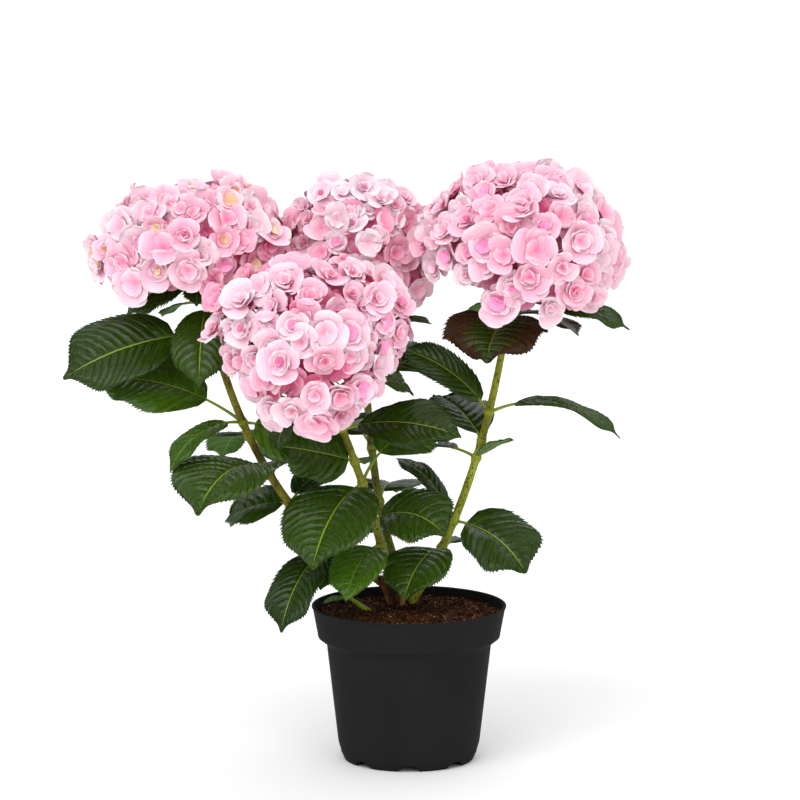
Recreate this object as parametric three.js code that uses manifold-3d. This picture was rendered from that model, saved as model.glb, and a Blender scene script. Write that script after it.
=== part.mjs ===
// A double-flowered mophead hydrangea in its nursery pot.
// Millimetres, +Z up. The origin is the middle of the pot's flat underside, and -Y is the plant's front.
import * as THREE from 'three';
import { mergeVertices } from 'three/addons/utils/BufferGeometryUtils.js';
import Module from 'manifold-3d';

const wasm = await Module();
wasm.setup();

const { degToRad, lerp, clamp, seededRandom } = THREE.MathUtils;
const UP = new THREE.Vector3(0, 0, 1);
const AWAY = new THREE.Vector3(0, 1, 0);
const CLEARANCE = 0.35;

// ---- Driving sizes -------------------------------------------------------------------------------

const POT = {
  rimRadius: 115,
  height: 185,
  wall: 1.6,
  lip: 1.4,
  lipHeight: 3,
  collarFoot: 148,
  collarFootRadius: 107.8,
  bodyTop: 140,
  bodyTopRadius: 97.3,
  bodyFoot: 21,
  bodyFootRadius: 83.5,
  baseRadius: 77.5,
  cornerHeight: 3,
  segments: 32,
};
const DRAIN = { count: 8, innerRadius: 47, height: 7.5, mouth: 30, roof: 12 };
const FLOOR = { thin: 2.2, thick: DRAIN.height + 2 };
const SOIL = { crest: 181, edge: 175, crestRadius: 44 };
const GROUND = SOIL.crest + CLEARANCE;

// The woody crown: a stub splays from one foot to each cane that grows on it.
const CROWN = {
  foot: [-15, 20, GROUND],
  footRadius: 9.5,
  stubRadius: 6.3,
  bend: 15,
  canes: ['left', 'front', 'back'],
};

// Each cane is one tapering limb. Its line is a cubic from its foot to its tip, through two handles.
const CANES = {
  left: {
    foot: [-36, 14, 212],
    handles: [[-152, 6, 272], [-219, 0, 418]],
    tip: [-245, 5, 584],
    radii: [5.5, 3.9],
  },
  front: {
    foot: [-24, 7, 225],
    handles: [[-44, 0, 292], [-66, -34, 390]],
    tip: [-110, -82, 476],
    radii: [5.2, 3.9],
  },
  back: {
    foot: [-11, 34, 218],
    handles: [[-50, 42, 304], [-48, 80, 446]],
    tip: [-62, 102, 560],
    radii: [5.2, 3.9],
  },
  right: {
    foot: [2, 26, GROUND],
    handles: [[67, 22, 280], [106, 19, 430]],
    tip: [121, 17, 566],
    radii: [5.4, 3.9],
  },
};

// A mophead is a dome of double florets on rays that spread from the top of its cane.
// Each row gives the dome's middle, the way it faces, its half width, its half height, its reach from
// the pole in degrees and its florets. Its skin swells into a few lobes: how many, the side of the first in
// degrees, and how far they swell.
const BLOOMS = {
  left: {
    middle: [-256, 20, 607],
    facing: [-0.12, -0.01, 1],
    across: 113,
    deep: 75,
    reach: 114,
    florets: 48,
    lobes: [2, 180, 0.03],
  },
  front: {
    middle: [-114, -126, 519],
    facing: [-0.06, -0.8, 1],
    across: 108,
    deep: 84,
    reach: 118,
    florets: 50,
    lobes: [3, 270, 0.15],
  },
  back: {
    middle: [-64, 122, 583],
    facing: [0.05, 0.04, 1],
    across: 100,
    deep: 95,
    reach: 116,
    florets: 39,
    lobes: [2, 0, 0.03],
  },
  right: {
    middle: [134, 8, 606],
    facing: [0.19, -0.22, 1],
    across: 116,
    deep: 93,
    reach: 112,
    florets: 50,
    lobes: [3, 285, 0.07],
  },
};
const FLORET = { radius: 21, heart: 4, segments: 5 };
const DOME = { core: 0.84, shell: 9, sides: 12, steps: 5, rays: 5, rayRadii: [3.2, 1.8] };

const LEAF = {
  thickness: 1.4,
  stalkRadius: 1.7,
  tipWidth: 0.5,
  fold: 0.3,
  curl: 0.24,
  stalkSteps: 2,
  bladeSteps: 5,
};
const COLLAR = { proud: 1.9, length: 8, sides: 8, gap: 0.45 };

// Leaves stand at nodes up each cane. A node's height is over the pot's underside. Each leaf has a
// heading round the cane (0 is +X, 90 is away), the rise and fall of its arc from stalk to tip, its
// stalk, blade and width, and its roll.
const LEAVES = {
  left: [
    {
      height: 250,
      pair: [
        [239, 0, -72, 28, 120, 64, 0],
        [60, 25, -20, 25, 85, 55, 0],
        [258, -5, -60, 14, 60, 40, 0],
      ],
    },
    { height: 304, pair: [[160, 5, -41, 8, 82, 70, -25], [50, 45, 0, 15, 76, 52, 0]] },
    { height: 341, pair: [[233, 34, -60, 6, 148, 126, 0], [75, 30, -20, 25, 90, 60, 0]] },
    { height: 385, pair: [[115, 10, -60, 16, 80, 56, 0]] },
    {
      height: 402,
      pair: [
        [177, 38, -6, 50, 138, 96, -35],
        [339, 2, -46, 15, 122, 92, 34],
        [212, 12, -66, 20, 100, 38, -10],
      ],
    },
    { height: 507, pair: [[186, 2, -34, 44, 142, 98, -45]] },
    {
      height: 543,
      pair: [
        [265, -20, -82, 14, 104, 66, 0],
        [140, 5, -40, 30, 46, 28, 0],
        [12, 12, -35, 14, 70, 52, 0],
      ],
    },
    { height: 572, pair: [[194, 2, -50, 16, 84, 44, -45], [265, 15, -75, 8, 50, 34, 0]] },
  ],
  front: [
    { height: 256, pair: [[246, 8, -60, 20, 98, 64, 0]] },
    { height: 286, pair: [[328, 35, -45, 10, 98, 84, 35], [138, 25, -25, 25, 85, 60, 0]] },
    { height: 333, pair: [[240, -6, -66, 14, 134, 114, 0], [33, 68, -14, 42, 88, 72, 35]] },
    { height: 361, pair: [[204, 20, 8, 8, 98, 82, -52], [80, 5, -30, 15, 50, 26, 0]] },
    { height: 402, pair: [[338, 20, -20, 20, 132, 74, 30], [66, 34, -30, 15, 60, 42, 0]] },
    { height: 456, pair: [[14, 35, -50, 35, 86, 58, 15], [215, -10, -85, 15, 85, 50, 0]] },
  ],
  back: [
    { height: 300, pair: [[80, 25, -35, 25, 100, 70, 0]] },
    { height: 362, pair: [[110, 30, -35, 30, 115, 80, 0]] },
    { height: 440, pair: [[28, 30, -15, 30, 98, 66, 20], [190, 25, -30, 25, 95, 60, 0]] },
    { height: 500, pair: [[324, 25, -8, 20, 85, 36, 0], [150, 25, -35, 25, 105, 66, 0]] },
  ],
  right: [
    { height: 248, pair: [[241, 8, -62, 12, 98, 80, 0], [60, 15, -20, 18, 55, 34, 0]] },
    { height: 281, pair: [[330, 0, -58, 16, 100, 96, 25], [134, 60, 5, 22, 100, 34, 0]] },
    { height: 357, pair: [[310, 35, 20, 6, 62, 34, 0], [137, 20, -25, 35, 65, 45, 0]] },
    { height: 378, pair: [[126, 46, 2, 10, 94, 86, 0]] },
    { height: 411, pair: [[342, 28, -44, 32, 142, 50, 0], [159, 55, 8, 16, 122, 42, -50]] },
    { height: 526, pair: [[256, 5, -42, 8, 116, 118, 0], [36, 8, -42, 14, 100, 56, 0]] },
    { height: 545, pair: [[0, 6, -34, 22, 126, 60, 15], [120, -5, -50, 24, 70, 46, 0]] },
  ],
};
const LEAF_FIELDS = ['heading', 'rise', 'fall', 'stalk', 'blade', 'width', 'roll'];

// A young shoot leans out of the soil in front of the crown, with one small leaf.
const SHOOT = {
  foot: [-46, -10, GROUND - 4],
  tip: [-70, -14, 196],
  radii: [4, 2.2],
  leaf: [200, 20, -30, 5, 32, 17, 0],
};

// ---- Materials -----------------------------------------------------------------------------------

function paint(color, roughness) {
  return new THREE.MeshStandardMaterial({ color, roughness, metalness: 0 });
}

const PLASTIC = paint('#1b1b1c', 0.45);
const COMPOST = paint('#2f1d13', 0.95);
const BARK = paint('#6b5236', 0.8);
const GREEN_BARK = paint('#6f8a2c', 0.6);
const FOLIAGE = paint('#245a1f', 0.4);
const PETAL = paint('#f3b5cd', 0.6);

// ---- Geometry helpers ----------------------------------------------------------------------------

const shrub = new THREE.Group();

function addMesh(name, geometry, material) {
  const mesh = new THREE.Mesh(geometry, material);
  mesh.name = name;
  shrub.add(mesh);
}

function toSolid(geometry) {
  const bare = geometry.clone();
  bare.deleteAttribute('normal');
  bare.deleteAttribute('uv');
  const merged = mergeVertices(bare, 1e-4);
  return new wasm.Manifold(
    new wasm.Mesh({
      numProp: 3,
      vertProperties: new Float32Array(merged.attributes.position.array),
      triVerts: new Uint32Array(merged.index.array),
    }),
  );
}

function toGeometry(solid) {
  const mesh = solid.getMesh();
  const geometry = new THREE.BufferGeometry();
  geometry.setAttribute('position', new THREE.BufferAttribute(mesh.vertProperties, 3));
  geometry.setIndex(new THREE.BufferAttribute(mesh.triVerts, 1));
  geometry.computeVertexNormals();
  return geometry;
}

// Moves every vertex of a geometry: place(x, y, z) returns the new point.
function moulded(geometry, place) {
  const position = geometry.attributes.position;
  for (let i = 0; i < position.count; i += 1) {
    const point = place(position.getX(i), position.getY(i), position.getZ(i));
    position.setXYZ(i, point.x, point.y, point.z);
  }
  return geometry;
}

// A tapering limb: a capped cylinder whose rings are carried along a curve. across is a direction that the
// curve never runs along, from which its rings are turned.
function limb(curve, radiusAt, sides, steps, across = AWAY) {
  const geometry = new THREE.CylinderGeometry(1, 1, 1, sides, steps);
  return moulded(geometry, (x, y, z) => {
    const t = clamp(y + 0.5, 0, 1);
    const tangent = curve.getTangent(t);
    const first = new THREE.Vector3().crossVectors(across, tangent).normalize();
    const second = new THREE.Vector3().crossVectors(tangent, first);
    const radius = radiusAt(t);
    // The cylinder's axis is y, so its z and x become the ring's two directions.
    return curve.getPoint(t).addScaledVector(first, z * radius).addScaledVector(second, x * radius);
  });
}

function straightLimb(from, to, radii, sides) {
  const curve = new THREE.LineCurve3(from, to);
  return limb(curve, (t) => lerp(radii[0], radii[1], t), sides, 1);
}

// A ring of revolution about +Z from (radius, height) pairs.
function turned(profile, segments) {
  const points = profile.map(([radius, height]) => new THREE.Vector2(radius, height));
  return new THREE.LatheGeometry(points, segments).rotateX(Math.PI / 2);
}

// ---- Pot and soil --------------------------------------------------------------------------------

// The inner wall's radius and height at each level, so that the soil can follow it.
function innerWall(gap) {
  const inset = POT.wall + gap;
  return [
    [POT.baseRadius - inset - 1, FLOOR.thick + gap],
    [POT.bodyFootRadius - inset, POT.bodyFoot + gap],
    [POT.bodyTopRadius - inset, POT.bodyTop - 1 + gap],
    [POT.collarFootRadius - inset, POT.collarFoot + gap],
  ];
}

function collarInnerRadius(height, gap) {
  const share = (height - POT.collarFoot) / (POT.height - POT.collarFoot);
  return lerp(POT.collarFootRadius, POT.rimRadius - POT.lip, share) - POT.wall - gap;
}

// One trapezium channel that drains the underside, from under the floor out through the foot.
function drainChannel(angle) {
  const outline = new THREE.Shape([
    new THREE.Vector2(-DRAIN.mouth / 2, -1),
    new THREE.Vector2(DRAIN.mouth / 2, -1),
    new THREE.Vector2(DRAIN.roof / 2, DRAIN.height),
    new THREE.Vector2(-DRAIN.roof / 2, DRAIN.height),
  ]);
  const depth = POT.rimRadius - DRAIN.innerRadius;
  const channel = new THREE.ExtrudeGeometry(outline, { depth, bevelEnabled: false });
  return channel.rotateX(Math.PI / 2).translate(0, -DRAIN.innerRadius, 0).rotateZ(angle);
}

function makePot() {
  const outside = [
    [0, 0],
    [POT.baseRadius - 2.5, 0],
    [POT.baseRadius, POT.cornerHeight],
    [POT.bodyFootRadius, POT.bodyFoot],
    [POT.bodyTopRadius, POT.bodyTop],
    [POT.collarFootRadius, POT.collarFoot],
    [POT.rimRadius - POT.lip, POT.height - POT.lipHeight],
    [POT.rimRadius, POT.height - POT.lipHeight / 2],
    [POT.rimRadius - POT.lip / 2, POT.height],
  ];
  const inside = [
    [collarInnerRadius(POT.height, 0), POT.height],
    ...innerWall(0).reverse(),
    [DRAIN.innerRadius - 2, FLOOR.thick],
    [DRAIN.innerRadius - 4, FLOOR.thin],
    [0, FLOOR.thin],
  ];
  let pot = toSolid(turned([...outside, ...inside], POT.segments));
  for (let i = 0; i < DRAIN.count; i += 1) {
    pot = pot.subtract(toSolid(drainChannel((i * 2 * Math.PI) / DRAIN.count)));
  }
  addMesh('pot', toGeometry(pot), PLASTIC);
}

function makeSoil() {
  const gap = CLEARANCE;
  const profile = [
    [0, FLOOR.thin + gap],
    [DRAIN.innerRadius - 4 - gap, FLOOR.thin + gap],
    [DRAIN.innerRadius - 2 - gap, FLOOR.thick + gap],
    ...innerWall(gap),
    [collarInnerRadius(SOIL.edge, gap), SOIL.edge],
    [(SOIL.crestRadius + POT.rimRadius) / 2, (SOIL.crest + SOIL.edge) / 2 + 0.8],
    [SOIL.crestRadius, SOIL.crest],
    [0, SOIL.crest],
  ];
  addMesh('soil', toGeometry(toSolid(turned(profile, POT.segments))), COMPOST);
}

// ---- Crown and canes -----------------------------------------------------------------------------

function vector(numbers) {
  return new THREE.Vector3(...numbers);
}

function caneCurve(cane) {
  return new THREE.CubicBezierCurve3(vector(cane.foot), ...cane.handles.map(vector), vector(cane.tip));
}

// Where on its line a cane reaches a height, by halving.
function shareAtHeight(curve, height) {
  let low = 0;
  let high = 1;
  for (let i = 0; i < 30; i += 1) {
    const middle = (low + high) / 2;
    if (curve.getPoint(middle).z < height) low = middle;
    else high = middle;
  }
  return (low + high) / 2;
}

function makeCrown() {
  let crown = null;
  for (const name of CROWN.canes) {
    const caneFoot = vector(CANES[name].foot);
    const along = caneCurve(CANES[name]).getTangent(0);
    const bend = caneFoot.clone().addScaledVector(along, -CROWN.bend);
    const tip = caneFoot.clone().addScaledVector(along, -CLEARANCE);
    const curve = new THREE.QuadraticBezierCurve3(vector(CROWN.foot), bend, tip);
    const stub = toSolid(limb(curve, (t) => lerp(CROWN.footRadius, CROWN.stubRadius, t), 8, 3));
    crown = crown ? crown.add(stub) : stub;
  }
  return cutAtGround(crown);
}

// A limb that stands at the soil ends there in a flat cut.
function cutAtGround(solid) {
  const depth = 40;
  const below = new THREE.BoxGeometry(POT.rimRadius, POT.rimRadius, depth);
  below.translate(0, 0, GROUND - depth / 2);
  return solid.subtract(toSolid(below));
}

function caneSolid(cane) {
  const radiusAt = (t) => lerp(cane.radii[0], cane.radii[1], t);
  return cutAtGround(toSolid(limb(caneCurve(cane), radiusAt, 8, 14)));
}

// ---- Leaves --------------------------------------------------------------------------------------

function leafFrom(numbers) {
  return Object.fromEntries(LEAF_FIELDS.map((field, i) => [field, numbers[i]]));
}

// Half the blade's width at a share of its length: round at the base and short-pointed at the tip.
function bladeHalfWidth(share, width) {
  const shape = (share ** 0.6 * (1 - share) ** 0.6) / 0.435;
  return (width / 2) * shape;
}

// The leaf's midrib: an arc in an upright plane whose pitch runs evenly from rise to fall.
function midribCurve(root, leaf) {
  const length = leaf.stalk + leaf.blade;
  const heading = degToRad(leaf.heading);
  const points = [root.clone()];
  const steps = 24;
  for (let i = 0; i < steps; i += 1) {
    const pitch = degToRad(lerp(leaf.rise, leaf.fall, (i + 0.5) / steps));
    const flat = Math.cos(pitch);
    const step = new THREE.Vector3(flat * Math.cos(heading), flat * Math.sin(heading), Math.sin(pitch));
    points.push(points.at(-1).clone().addScaledVector(step, length / steps));
  }
  return new THREE.CatmullRomCurve3(points);
}

// One leaf, stalk and blade together: a box that is carried along the midrib and drawn out to the outline.
function leafGeometry(root, leaf) {
  const curve = midribCurve(root, leaf);
  const stalkShare = leaf.stalk / (leaf.stalk + leaf.blade);
  const steps = LEAF.stalkSteps + LEAF.bladeSteps;
  const heading = degToRad(leaf.heading);
  const level = new THREE.Vector3(-Math.sin(heading), Math.cos(heading), 0);
  const box = new THREE.BoxGeometry(1, 1, 1, steps, 2, 1);
  return moulded(box, (x, y, z) => {
    const step = Math.round((x + 0.5) * steps);
    const onStalk = step <= LEAF.stalkSteps;
    const bladeShare = onStalk ? 0 : (step - LEAF.stalkSteps) / LEAF.bladeSteps;
    const share = onStalk ? (step / LEAF.stalkSteps) * stalkShare : lerp(stalkShare, 1, bladeShare);
    const halfWidth = Math.max(
      bladeHalfWidth(bladeShare, leaf.width),
      onStalk ? LEAF.stalkRadius : LEAF.tipWidth,
    );
    const tangent = curve.getTangent(share);
    const side = level.clone().applyAxisAngle(tangent, degToRad(leaf.roll) * Math.min(1, share / stalkShare));
    const normal = new THREE.Vector3().crossVectors(tangent, side).normalize();
    const across = y * 2;
    const lift = onStalk ? 0 : halfWidth * (LEAF.fold * Math.abs(across) - LEAF.curl * across * across);
    const thickness = onStalk ? LEAF.stalkRadius * 2 : LEAF.thickness;
    return curve
      .getPoint(share)
      .addScaledVector(side, across * halfWidth)
      .addScaledVector(normal, lift + z * thickness);
  });
}

// The leaves of one node, joined by the collar with which their stalks clasp the cane.
function leafPair(cane, node) {
  const curve = caneCurve(cane);
  const share = shareAtHeight(curve, node.height);
  const root = curve.getPoint(share);
  const along = curve.getTangent(share);
  const radius = lerp(cane.radii[0], cane.radii[1], share) + COLLAR.gap;
  const barrel = (reach, size) => {
    const from = root.clone().addScaledVector(along, -reach);
    const to = root.clone().addScaledVector(along, reach);
    return toSolid(straightLimb(from, to, [size, size], COLLAR.sides));
  };
  let pair = barrel(COLLAR.length / 2, radius + COLLAR.proud);
  for (const numbers of node.pair) {
    pair = pair.add(toSolid(leafGeometry(root, leafFrom(numbers))));
  }
  return pair.subtract(barrel(COLLAR.length * 2, radius));
}

function shootSolid() {
  const tip = vector(SHOOT.tip);
  const stem = toSolid(straightLimb(vector(SHOOT.foot), tip, SHOOT.radii, 8));
  const root = vector(SHOOT.foot).lerp(tip, 0.9);
  return cutAtGround(stem.add(toSolid(leafGeometry(root, leafFrom(SHOOT.leaf)))));
}

// ---- Blooms --------------------------------------------------------------------------------------

// Turns and stretches a point of the unit dome, whose pole is +Z, into the bloom's place.
function domeFrame(bloom) {
  const turn = new THREE.Quaternion().setFromUnitVectors(UP, vector(bloom.facing).normalize());
  const stretch = new THREE.Vector3(bloom.across, bloom.across, bloom.deep);
  const middle = vector(bloom.middle);
  const [lobes, side, swell] = bloom.lobes;
  return (unit, scale) => {
    const lobe = Math.cos(lobes * (Math.atan2(unit.y, unit.x) - degToRad(side))) * Math.hypot(unit.x, unit.y);
    return unit
      .clone()
      .multiply(stretch)
      .multiplyScalar(scale * (1 + swell * lobe))
      .applyQuaternion(turn)
      .add(middle);
  };
}

// Florets lie on a golden-angle spiral from the pole to the dome's reach, each with the same share
// of its skin.
function floretPlaces(bloom) {
  const goldenAngle = Math.PI * (3 - Math.sqrt(5));
  const steps = 400;
  const reach = degToRad(bloom.reach);
  const bands = [];
  for (let i = 0; i < steps; i += 1) {
    const polar = ((i + 0.5) / steps) * reach;
    bands.push(Math.sin(polar) * Math.hypot(bloom.across * Math.cos(polar), bloom.deep * Math.sin(polar)));
  }
  const perFloret = bands.reduce((sum, band) => sum + band, 0) / bloom.florets;
  const places = [];
  let covered = perFloret / 2;
  bands.forEach((band, i) => {
    covered += band;
    if (covered < perFloret) return;
    covered -= perFloret;
    const polar = ((i + 0.5) / steps) * reach;
    const angle = places.length * goldenAngle;
    const ring = Math.sin(polar);
    places.push(new THREE.Vector3(ring * Math.cos(angle), ring * Math.sin(angle), Math.cos(polar)));
  });
  return places;
}

// A floret is a funnel rooted in the core, with a cupped face and a raised heart.
function floretGeometry(bloom, domePoint, unit) {
  const { radius, heart, segments } = FLORET;
  const place = domePoint(unit, 1);
  const root = domePoint(unit, DOME.core - (DOME.shell * 0.78) / bloom.deep);
  const profile = [
    [0, -place.distanceTo(root)],
    [radius, 0],
    [0, heart],
  ];
  const facing = new THREE.Quaternion().setFromUnitVectors(UP, place.clone().sub(root).normalize());
  return turned(profile, segments)
    .rotateZ(seededRandom() * Math.PI)
    .applyQuaternion(facing)
    .translate(place.x, place.y, place.z);
}

// The core is an open-bottomed shell on which the florets stand, like the close heads of the rays.
function coreGeometry(bloom, domePoint) {
  const steps = DOME.steps;
  const arc = (radius) =>
    Array.from({ length: steps + 1 }, (_, i) => {
      const polar = (i / steps) * degToRad(bloom.reach);
      return [Math.sin(polar) * radius, Math.cos(polar) * radius];
    });
  const outer = arc(DOME.core).reverse();
  const profile = [...outer, ...arc(DOME.core - DOME.shell / bloom.deep), outer[0]];
  return moulded(turned(profile, DOME.sides), (x, y, z) => domePoint(new THREE.Vector3(x, y, z), 1));
}

function rayGeometry(bloom, domePoint, hub, index) {
  const angle = (index / DOME.rays) * 2 * Math.PI;
  const polar = degToRad(bloom.reach) * 0.5;
  const wide = Math.sin(polar);
  const unit = new THREE.Vector3(wide * Math.cos(angle), wide * Math.sin(angle), Math.cos(polar));
  return straightLimb(hub, domePoint(unit, DOME.core - 0.04), DOME.rayRadii, 4);
}

function bloomSolid(bloom, cane) {
  const domePoint = domeFrame(bloom);
  const curve = caneCurve(cane);
  const along = curve.getTangent(1);
  const hub = curve.getPoint(1).addScaledVector(along, 6);
  const stem = straightLimb(
    curve.getPoint(1).addScaledVector(along, CLEARANCE),
    hub.clone().addScaledVector(along, 3),
    [cane.radii[1], cane.radii[1]],
    8,
  );
  let solid = toSolid(coreGeometry(bloom, domePoint)).add(toSolid(stem));
  for (let i = 0; i < DOME.rays; i += 1) {
    solid = solid.add(toSolid(rayGeometry(bloom, domePoint, hub, i)));
  }
  for (const unit of floretPlaces(bloom)) {
    solid = solid.add(toSolid(floretGeometry(bloom, domePoint, unit)));
  }
  return solid;
}

// ---- The plant -----------------------------------------------------------------------------------

makePot();
makeSoil();
addMesh('woody_crown', toGeometry(makeCrown()), BARK);
addMesh('young_shoot', toGeometry(shootSolid()), FOLIAGE);
seededRandom(7);
for (const [name, cane] of Object.entries(CANES)) {
  addMesh(`${name}_cane`, toGeometry(caneSolid(cane)), GREEN_BARK);
  LEAVES[name].forEach((node, i) => {
    addMesh(`${name}_leaves_${i + 1}`, toGeometry(leafPair(cane, node)), FOLIAGE);
  });
  addMesh(`${name}_bloom`, toGeometry(bloomSolid(BLOOMS[name], cane)), PETAL);
}

export default shrub;
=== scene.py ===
import math
import random

import bmesh
import bpy
from mathutils import Matrix, Quaternion, Vector, noise


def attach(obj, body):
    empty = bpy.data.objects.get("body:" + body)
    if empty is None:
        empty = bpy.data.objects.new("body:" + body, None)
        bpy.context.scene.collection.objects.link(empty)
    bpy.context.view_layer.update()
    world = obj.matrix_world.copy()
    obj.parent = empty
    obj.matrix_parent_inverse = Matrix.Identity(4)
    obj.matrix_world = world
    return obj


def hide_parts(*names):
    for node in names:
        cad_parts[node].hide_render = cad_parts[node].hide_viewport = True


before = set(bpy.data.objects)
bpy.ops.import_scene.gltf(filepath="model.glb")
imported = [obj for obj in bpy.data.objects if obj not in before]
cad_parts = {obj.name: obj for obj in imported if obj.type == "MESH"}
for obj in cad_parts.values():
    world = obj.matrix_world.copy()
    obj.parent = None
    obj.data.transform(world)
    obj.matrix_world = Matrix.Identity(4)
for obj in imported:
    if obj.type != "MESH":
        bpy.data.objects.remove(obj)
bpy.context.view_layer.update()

MM = 0.001
UP = Vector((0, 0, 1))
AWAY = Vector((0, 1, 0))
rng = random.Random(7)

# ---- Camera --------------------------------------------------------------------------------------

# The view stands 6 m back from the plant and looks slightly down at it.
VIEW = {
    "target": Vector((-0.0106, 0, 0.4294)),
    "distance": 6.0,
    "elevation": math.radians(9.3),
    "lens": 230.2,
    "sensor": 36,
    "far": 200,
}


def make_camera():
    data = bpy.data.cameras.new("camera")
    data.lens = VIEW["lens"]
    data.sensor_width = VIEW["sensor"]
    data.clip_end = VIEW["far"]
    camera = bpy.data.objects.new("camera", data)
    bpy.context.scene.collection.objects.link(camera)
    back = Vector((0, -math.cos(VIEW["elevation"]), math.sin(VIEW["elevation"])))
    camera.location = VIEW["target"] + back * VIEW["distance"]
    camera.rotation_euler = (math.pi / 2 - VIEW["elevation"], 0, 0)
    bpy.context.scene.camera = camera


make_camera()

# ---- Driving sizes, as in the part's source ------------------------------------------------------

POT = {
    "rim_radius": 115, "height": 185, "wall": 1.6, "lip": 1.4, "lip_height": 3,
    "collar_foot": 148, "collar_foot_radius": 107.8, "body_top": 140, "body_top_radius": 97.3,
    "body_foot": 21, "body_foot_radius": 83.5, "base_radius": 77.5, "corner_height": 3,
}
DRAIN = {"count": 8, "inner_radius": 47, "height": 7.5, "mouth": 30, "roof": 12}
SOIL = {"crest": 181, "edge": 175, "crest_radius": 44}
GROUND = SOIL["crest"] + 0.35

CROWN = {
    "foot": (-15, 20, GROUND),
    "foot_radius": 9.5,
    "stub_radius": 6.3,
    "bend": 15,
    "canes": ("left", "front", "back"),
}

# Each cane is a Bezier line from its foot to its tip, with its radius at both.
CANES = {
    "left": {
        "line": [(-36, 14, 212), (-152, 6, 272), (-219, 0, 418), (-245, 5, 584)],
        "radii": (5.5, 3.9),
    },
    "front": {
        "line": [(-24, 7, 225), (-44, 0, 292), (-66, -34, 390), (-110, -82, 476)],
        "radii": (5.2, 3.9),
    },
    "back": {
        "line": [(-11, 34, 218), (-50, 42, 304), (-48, 80, 446), (-62, 102, 560)],
        "radii": (5.2, 3.9),
    },
    "right": {
        "line": [(2, 26, GROUND), (67, 22, 280), (106, 19, 430), (121, 17, 566)],
        "radii": (5.4, 3.9),
    },
}

# Each bloom is a dome: its middle, the way its pole faces, its half width (across) and half height (deep),
# and how many degrees from the pole its florets reach. Then come the number of florets, their smallest and
# largest radius, the dome's lobes (count, bearing and swell), and how many pinks paler each floret may be.
BLOOMS = {
    "left": {
        "middle": (-256, 20, 607),
        "facing": (-0.12, -0.01, 1),
        "across": 113,
        "deep": 75,
        "reach": 114,
        "florets": 80,
        "sizes": (20, 29),
        "lobes": (2, 180, 0.03),
        "shades": (-1, -1, 0, 0, 1),
    },
    "front": {
        "middle": (-114, -126, 519),
        "facing": (-0.06, -0.8, 1),
        "across": 108,
        "deep": 84,
        "reach": 118,
        "florets": 80,
        "sizes": (20, 29),
        "lobes": (3, 270, 0.15),
        "shades": (-1, -1, 0, 0, 1),
    },
    "back": {
        "middle": (-64, 122, 583),
        "facing": (0.05, 0.04, 1),
        "across": 100,
        "deep": 95,
        "reach": 116,
        "florets": 104,
        "sizes": (15, 23),
        "lobes": (2, 0, 0.03),
        "shades": (0, 1, 2, 2),
    },
    "right": {
        "middle": (134, 8, 606),
        "facing": (0.19, -0.22, 1),
        "across": 116,
        "deep": 93,
        "reach": 112,
        "florets": 84,
        "sizes": (21, 30),
        "lobes": (3, 285, 0.07),
        "shades": (-1, -1, 0, 0, 1),
    },
}

LEAF = {"stalk_radii": (2.4, 1.5), "fold": 0.3, "curl": 0.24, "thickness": 0.5}

# Each node's height, then its leaves, whose numbers LEAF_FIELDS names: the heading in degrees from +X, the
# pitch where the leaf starts (rise) and ends (fall), the lengths of stalk and blade, the width and the roll.
LEAVES = {
    "left": [
        (250, [(239, 0, -72, 28, 120, 64, 0), (60, 25, -20, 25, 85, 55, 0), (258, -5, -60, 14, 60, 40, 0)]),
        (304, [(160, 5, -41, 8, 82, 70, -25), (50, 45, 0, 15, 76, 52, 0)]),
        (341, [(233, 34, -60, 6, 148, 126, 0), (75, 30, -20, 25, 90, 60, 0)]),
        (385, [(115, 10, -60, 16, 80, 56, 0)]),
        (402, [
            (177, 38, -6, 50, 138, 96, -35),
            (339, 2, -46, 15, 122, 92, 34),
            (212, 12, -66, 20, 100, 38, -10),
        ]),
        (507, [(186, 2, -34, 44, 142, 98, -45)]),
        (543, [(265, -20, -82, 14, 104, 66, 0), (140, 5, -40, 30, 46, 28, 0), (12, 12, -35, 14, 70, 52, 0)]),
        (572, [(194, 2, -50, 16, 84, 44, -45), (265, 15, -75, 8, 50, 34, 0)]),
    ],
    "front": [
        (256, [(246, 8, -60, 20, 98, 64, 0)]),
        (286, [(328, 35, -45, 10, 98, 84, 35), (138, 25, -25, 25, 85, 60, 0)]),
        (333, [(240, -6, -66, 14, 134, 114, 0), (33, 68, -14, 42, 88, 72, 35)]),
        (361, [(204, 20, 8, 8, 98, 82, -52), (80, 5, -30, 15, 50, 26, 0)]),
        (402, [(338, 20, -20, 20, 132, 74, 30), (66, 34, -30, 15, 60, 42, 0)]),
        (456, [(14, 35, -50, 35, 86, 58, 15), (215, -10, -85, 15, 85, 50, 0)]),
    ],
    "back": [
        (300, [(80, 25, -35, 25, 100, 70, 0)]),
        (362, [(110, 30, -35, 30, 115, 80, 0)]),
        (440, [(28, 30, -15, 30, 98, 66, 20), (190, 25, -30, 25, 95, 60, 0)]),
        (500, [(324, 25, -8, 20, 85, 36, 0), (150, 25, -35, 25, 105, 66, 0)]),
    ],
    "right": [
        (248, [(241, 8, -62, 12, 98, 80, 0), (60, 15, -20, 18, 55, 34, 0)]),
        (281, [(330, 0, -58, 16, 100, 96, 25), (134, 60, 5, 22, 100, 34, 0)]),
        (357, [(310, 35, 20, 6, 62, 34, 0), (137, 20, -25, 35, 65, 45, 0)]),
        (378, [(126, 46, 2, 10, 94, 86, 0)]),
        (411, [(342, 28, -44, 32, 142, 50, 0), (159, 55, 8, 16, 122, 42, -50)]),
        (526, [(256, 5, -42, 8, 116, 118, 0), (36, 8, -42, 14, 100, 56, 0)]),
        (545, [(0, 6, -34, 22, 126, 60, 15), (120, -5, -50, 24, 70, 46, 0)]),
    ],
}
LEAF_FIELDS = ("heading", "rise", "fall", "stalk", "blade", "width", "roll")
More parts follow.
